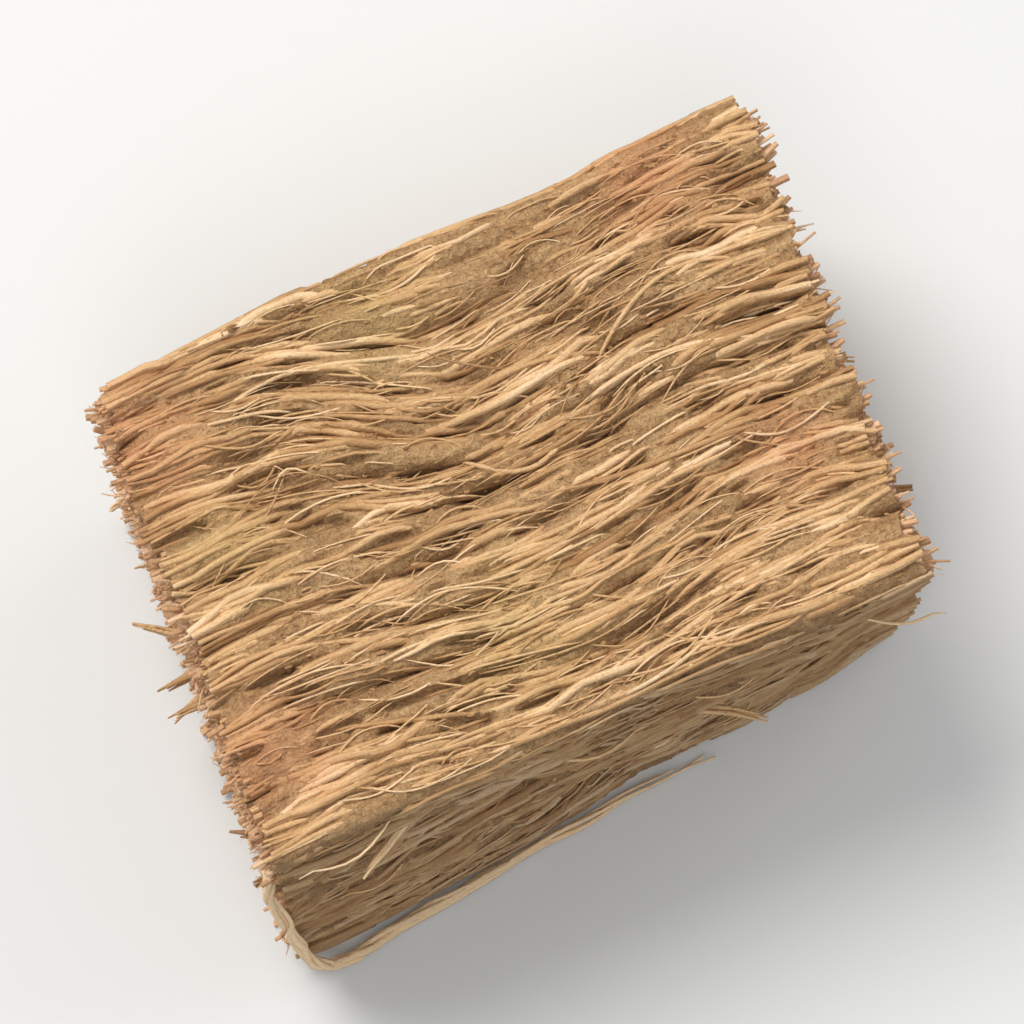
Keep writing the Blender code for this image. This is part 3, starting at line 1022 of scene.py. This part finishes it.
class Finish:
    """A material that is being put together."""

    def __init__(self, name, roughness):
        self.material = bpy.data.materials.new(name)
        self.material.use_nodes = True
        self.tree = self.material.node_tree
        self.shader = self.tree.nodes["Principled BSDF"]
        self.shader.inputs["Roughness"].default_value = roughness
        self.shader.inputs["Specular IOR Level"].default_value = SPECULAR

    def set_socket(self, socket, value):
        if isinstance(value, Term):
            self.tree.links.new(value.socket, socket)
        else:
            socket.default_value = value

    def node(self, kind, settings, sockets, output=0):
        """Adds one node: its settings first, then the values or links of its sockets."""
        node = self.tree.nodes.new("ShaderNode" + kind)
        for name, value in settings.items():
            if name == "stops":
                self.set_stops(node.color_ramp, value)
            else:
                setattr(node, name, value)
        for name, value in sockets.items():
            self.set_socket(node.inputs[name], value)
        return Term(self, node.outputs[output])

    def set_stops(self, ramp, stops):
        while len(ramp.elements) < len(stops):
            ramp.elements.new(0.5)
        for element, (position, colour) in zip(ramp.elements, stops):
            element.position = position
            element.color = (*colour, 1.0)

    def attribute(self, name):
        return self.node("Attribute", {"attribute_name": name}, {}, output=2)

    def place(self, across=1.0, along=1.0):
        """Object coordinates in millimetres, drawn out along the coir."""
        where = self.node("TexCoord", {}, {}, output=3)
        return self.node("Mapping", {}, {"Vector": where, "Scale": (along / MM, across / MM, across / MM)})

    def noise(self, vector, scale, detail=3.0, roughness=0.55):
        sockets = {"Vector": vector, "Scale": scale, "Detail": detail, "Roughness": roughness}
        return self.node("TexNoise", {}, sockets)

    def ramp(self, factor, stops):
        return self.node("ValToRGB", {"stops": stops}, {0: factor})

    def blend(self, factor, colour, other):
        """Mixes some of another colour into a colour."""
        return self.node("Mix", {"data_type": "RGBA"}, {0: factor, 6: colour, 7: (*other, 1.0)}, output=2)

    def cells(self, vector, scale):
        """The distance from the middle of the nearest cell."""
        return self.node("TexVoronoi", {}, {"Vector": vector, "Scale": scale})

    def bump(self, height, depth, before=None):
        """Raises the surface by a height from 0 to 1, times a depth in millimetres."""
        sockets = {"Height": height, "Distance": depth * MM, "Strength": 1.0}
        if before:
            sockets["Normal"] = before
        return self.node("Bump", {}, sockets)

    def done(self, colour, normal, roughness=None):
        self.set_socket(self.shader.inputs["Base Color"], colour)
        self.set_socket(self.shader.inputs["Normal"], normal)
        if roughness:
            self.set_socket(self.shader.inputs["Roughness"], roughness)
        return self.material


def tint(*screen):
    """A colour as a material takes it, from what shows on a screen, each part from 0 to 255."""
    return tuple(((value / 255 + 0.055) / 1.055) ** 2.4 for value in screen)


SPECULAR = 0.25

# Dark pith; the same colour also serves as painted shade in the grooves, pits and gaps of the block.
PITH_DARK_AND_SHADE = tint(128, 91, 60)
PITH = tint(174, 134, 91)
PITH_LIGHT = tint(204, 164, 117)
COIR_SHADE = tint(158, 114, 72)
COIR_MIDDLE = tint(200, 158, 110)
COIR_LIGHT = tint(222, 182, 134)
COIR_PALE = tint(243, 210, 168)
CUT_PINK = tint(206, 160, 130)
FLUSHED = tint(206, 140, 100)
YELLOWED = tint(204, 174, 114)
# Painted shade for the front face, which is turned away from the key light: a darker, greyer colour.
FRONT_SHADE_COLOUR = tint(146, 115, 82)

# Patches of the top face where the colour turns: along and across, and the radius.
FLUSHED_PATCHES = [(-9.3, 5.5, 3.0), (-9.6, -4.4, 2.8), (7.8, -2.7, 2.0), (7.2, 6.6, 2.8)]
YELLOWED_PATCHES = [(-1.7, -3.9, 2.8), (-8.2, 1.4, 2.2), (-1.7, 5.7, 2.4)]
TOP = 11.8
PATCH_SCALE = 0.9
FLUSH = 0.55
YELLOW = 0.45

# How much each blend shows in the colour of the block, from 0 to 1.
CUT_SHOWS = 0.55
CELLS_SHOW = 0.6
# Painted shade on the front face.
FRONT_SHADE_SHOWS = 0.6
SPECKS_SHOW = 0.5
# Painted shade, with dark pith, in the grooves, pits and gaps.
HOLLOW_SHADE_SHOWS = 0.55

# The tones of single fibres: the middle one, how far it changes along a fibre, and the dust of pith.
MIDDLE_TONE = 0.5
TONE_CHANGE = 0.5
DUST_STEEPNESS = 7
DUST_ON_DARK = 0.4
DUST_SHOWS = 0.6


def patches(finish, place, spots):
    """1 in the middle of some round patches of the top face, 0 outside them, and uneven between."""
    uneven = finish.noise(place, PATCH_SCALE) - 0.5
    most = None
    for along, across, radius in spots:
        sockets = {0: place, 1: (along, across, TOP)}
        away = finish.node("VectorMath", {"operation": "DISTANCE"}, sockets, output=1)
        patch = (1 - away * (1 / radius) + uneven).within()
        most = patch if most is None else most.or_more(patch)
    return most


def turned(finish, colour, place):
    """The colour with the flushed and the yellowed patches of the top face."""
    colour = finish.blend(patches(finish, place, FLUSHED_PATCHES) * FLUSH, colour, FLUSHED)
    return finish.blend(patches(finish, place, YELLOWED_PATCHES) * YELLOW, colour, YELLOWED)


def husk_finish():
    """Pith and coir of the block: streaked along the grain, pinkish where cut, darker with dark pith and
    painted shade in its grooves, pits and gaps, with painted shade on the front face and a little painted
    light on the cut ends.
    """
    finish = Finish("husk, coir and pith", roughness=0.93)
    plain = finish.place()
    streaks = finish.noise(finish.place(along=0.12), scale=2.6, detail=5.0)
    broad = finish.noise(plain, scale=0.3, detail=2.0)
    grain = finish.noise(plain, scale=6.0, detail=5.0, roughness=0.7)
    specks = finish.noise(plain, scale=15.0, detail=2.0)
    cells = finish.cells(finish.place(along=0.3), scale=4.0)
    clods = finish.cells(finish.place(along=0.6), scale=5.5)
    hollow = finish.attribute("hollow")
    cut = finish.attribute("cut")
    front = finish.attribute("front")
    # Painted light: the cut ends are made a little lighter, where the key light reaches them less.
    light = (streaks * 1.1 + broad * 0.5 + grain * 1.3 + cut * 0.12 - 0.93).within()
    colour = finish.ramp(light, [(0.1, PITH_DARK_AND_SHADE), (0.4, PITH), (0.7, PITH_LIGHT), (1.0, COIR_LIGHT)])
    colour = turned(finish, colour, plain)
    on_cut = cut.between(0.3125, 0.9375)
    colour = finish.blend(on_cut * CUT_SHOWS, colour, CUT_PINK)
    colour = finish.blend(on_cut * cells.between(0.2, 0.7) * CELLS_SHOW, colour, PITH)
    # Painted shade: the front face darker and greyer, as it is turned away from the key light.
    colour = finish.blend(front.between(0.267, 0.933) * FRONT_SHADE_SHOWS, colour, FRONT_SHADE_COLOUR)
    colour = finish.blend(specks.between(0.55, 0.717) * SPECKS_SHOW, colour, PITH_DARK_AND_SHADE)
    # Painted shade, with dark pith: darker the deeper a point lies in a groove, pit or gap.
    colour = finish.blend(hollow.between(0.269, 1.038) * HOLLOW_SHADE_SHOWS, colour, PITH_DARK_AND_SHADE)
    normal = finish.bump(streaks, depth=0.12)
    normal = finish.bump(clods, depth=0.1, before=normal)
    normal = finish.bump(grain, depth=0.16, before=normal)
    normal = finish.bump(specks, depth=0.05, before=normal)
    return finish.done(colour, normal)


def coir_finish(name, roughness, front_shade=0.0, cut=0.0):
    """Single fibres: each has its own tone, with darker stretches, fine streaks and a dusting of pith."""
    finish = Finish(name, roughness)
    tone = finish.attribute("tone")
    plain = finish.place()
    stretch = finish.noise(finish.place(along=0.35), scale=1.3)
    streaks = finish.noise(finish.place(along=0.1), scale=12.0, detail=2.0)
    grain = finish.noise(plain, scale=9.0, detail=4.0, roughness=0.65)
    change = (stretch + streaks - 1) * TONE_CHANGE
    # The front face's fibres get painted shade: their tones spread further apart here, and a darker, greyer
    # colour is mixed in below.
    light = ((tone - MIDDLE_TONE + change) * (1 + front_shade) + MIDDLE_TONE).within()
    stops = [(0.05, COIR_SHADE), (0.4, COIR_MIDDLE), (0.7, COIR_LIGHT), (1.0, COIR_PALE)]
    colour = turned(finish, finish.ramp(light, stops), plain)
    if cut:
        colour = finish.blend(cut, colour, CUT_PINK)
    if front_shade:
        colour = finish.blend(front_shade, colour, FRONT_SHADE_COLOUR)
    dusty = ((grain - 0.5) * DUST_STEEPNESS + (DUST_ON_DARK - tone)).within()
    colour = finish.blend(dusty * DUST_SHOWS, colour, PITH)
    normal = finish.bump(streaks, depth=0.05)
    normal = finish.bump(grain, depth=0.06, before=normal)
    return finish.done(colour, normal, (grain - 0.4) * 0.3 + roughness)


def pith_finish():
    """Crumbs of pith, each with its own tone."""
    finish = Finish("pith crumbs", roughness=0.95)
    grain = finish.noise(finish.place(), scale=6.0)
    light = (finish.attribute("tone") * 0.55 + grain * 0.4).within()
    colour = finish.ramp(light, [(0.0, PITH_DARK_AND_SHADE), (0.6, PITH), (1.0, PITH_LIGHT)])
    return finish.done(colour, finish.bump(grain, depth=0.05))


def floor():
    bm = bmesh.new()
    bmesh.ops.create_grid(bm, x_segments=1, y_segments=1, size=FLOOR_SIZE / 2)
    mesh = bpy.data.meshes.new("floor")
    bm.to_mesh(mesh)
    bm.free()
    finish = Finish("pale floor", FLOOR_ROUGHNESS)
    finish.shader.inputs["Base Color"].default_value = FLOOR_COLOUR
    mesh.materials.append(finish.material)
    plane = bpy.data.objects.new("floor", mesh)
    bpy.context.scene.collection.objects.link(plane)


def direction(azimuth, elevation):
    """The way from the chip to something seen at an azimuth and an elevation."""
    a, e = math.radians(azimuth), math.radians(elevation)
    return Vector((math.sin(a) * math.cos(e), -math.cos(a) * math.cos(e), math.sin(e)))


def area_light(name, azimuth, elevation, distance, size, power, colour):
    light = bpy.data.lights.new(name, "AREA")
    light.shape = "DISK"
    light.size = size
    light.energy = power
    light.color = colour
    lamp = bpy.data.objects.new(name, light)
    way = direction(azimuth, elevation)
    lamp.location = way * distance
    lamp.rotation_euler = way.to_track_quat("Z", "Y").to_euler()
    bpy.context.scene.collection.objects.link(lamp)


def studio():
    """Soft light from behind, as in the photograph, weaker ones from the front and the right, and a sky."""
    for name, values in LIGHTS.items():
        area_light(name, *values)
    world = bpy.data.worlds.new("studio")
    world.use_nodes = True
    world.node_tree.nodes["Background"].inputs["Color"].default_value = SKY_COLOUR
    world.node_tree.nodes["Background"].inputs["Strength"].default_value = SKY_STRENGTH
    bpy.context.scene.world = world
    bpy.context.scene.view_settings.view_transform = "Standard"


def camera():
    data = bpy.data.cameras.new("camera")
    data.lens = CAMERA_LENS
    data.sensor_width = CAMERA_SENSOR
    data.clip_start, data.clip_end = CAMERA_REACH
    eye = bpy.data.objects.new("camera", data)
    way = direction(CAMERA_AZIMUTH, CAMERA_ELEVATION)
    distance = VIEW_WIDTH * MM * CAMERA_LENS / CAMERA_SENSOR
    eye.location = Vector(VIEW_CENTRE) * MM + way * distance
    eye.rotation_euler = way.to_track_quat("Z", "Y").to_euler()
    bpy.context.scene.collection.objects.link(eye)
    bpy.context.scene.camera = eye


camera()
studio()
floor()

coir = coir_finish("coir", roughness=0.62)
# Coir with painted shade, for the front face.
front_shaded_coir = coir_finish("front-shaded coir", roughness=0.75, front_shade=0.55)
cut_coir = coir_finish("cut coir", roughness=0.78, cut=0.45)

husk_block(husk_finish())
face_fibres("top_fibres", TOP_FACE, seed=8, material=coir)
face_fibres("front_fibres", FRONT_FACE, seed=13, material=front_shaded_coir)
face_fibres("back_fibres", BACK_FACE, seed=17, material=coir)
face_fibres("bottom_fibres", BOTTOM_FACE, seed=19, material=coir)
cut_fibres("left_fibre_ends", -1, seed=55, material=cut_coir)
cut_fibres("right_fibre_ends", 1, seed=34, material=cut_coir)
hairs(coir)
loose_strands(coir)
pith_crumbs(pith_finish())
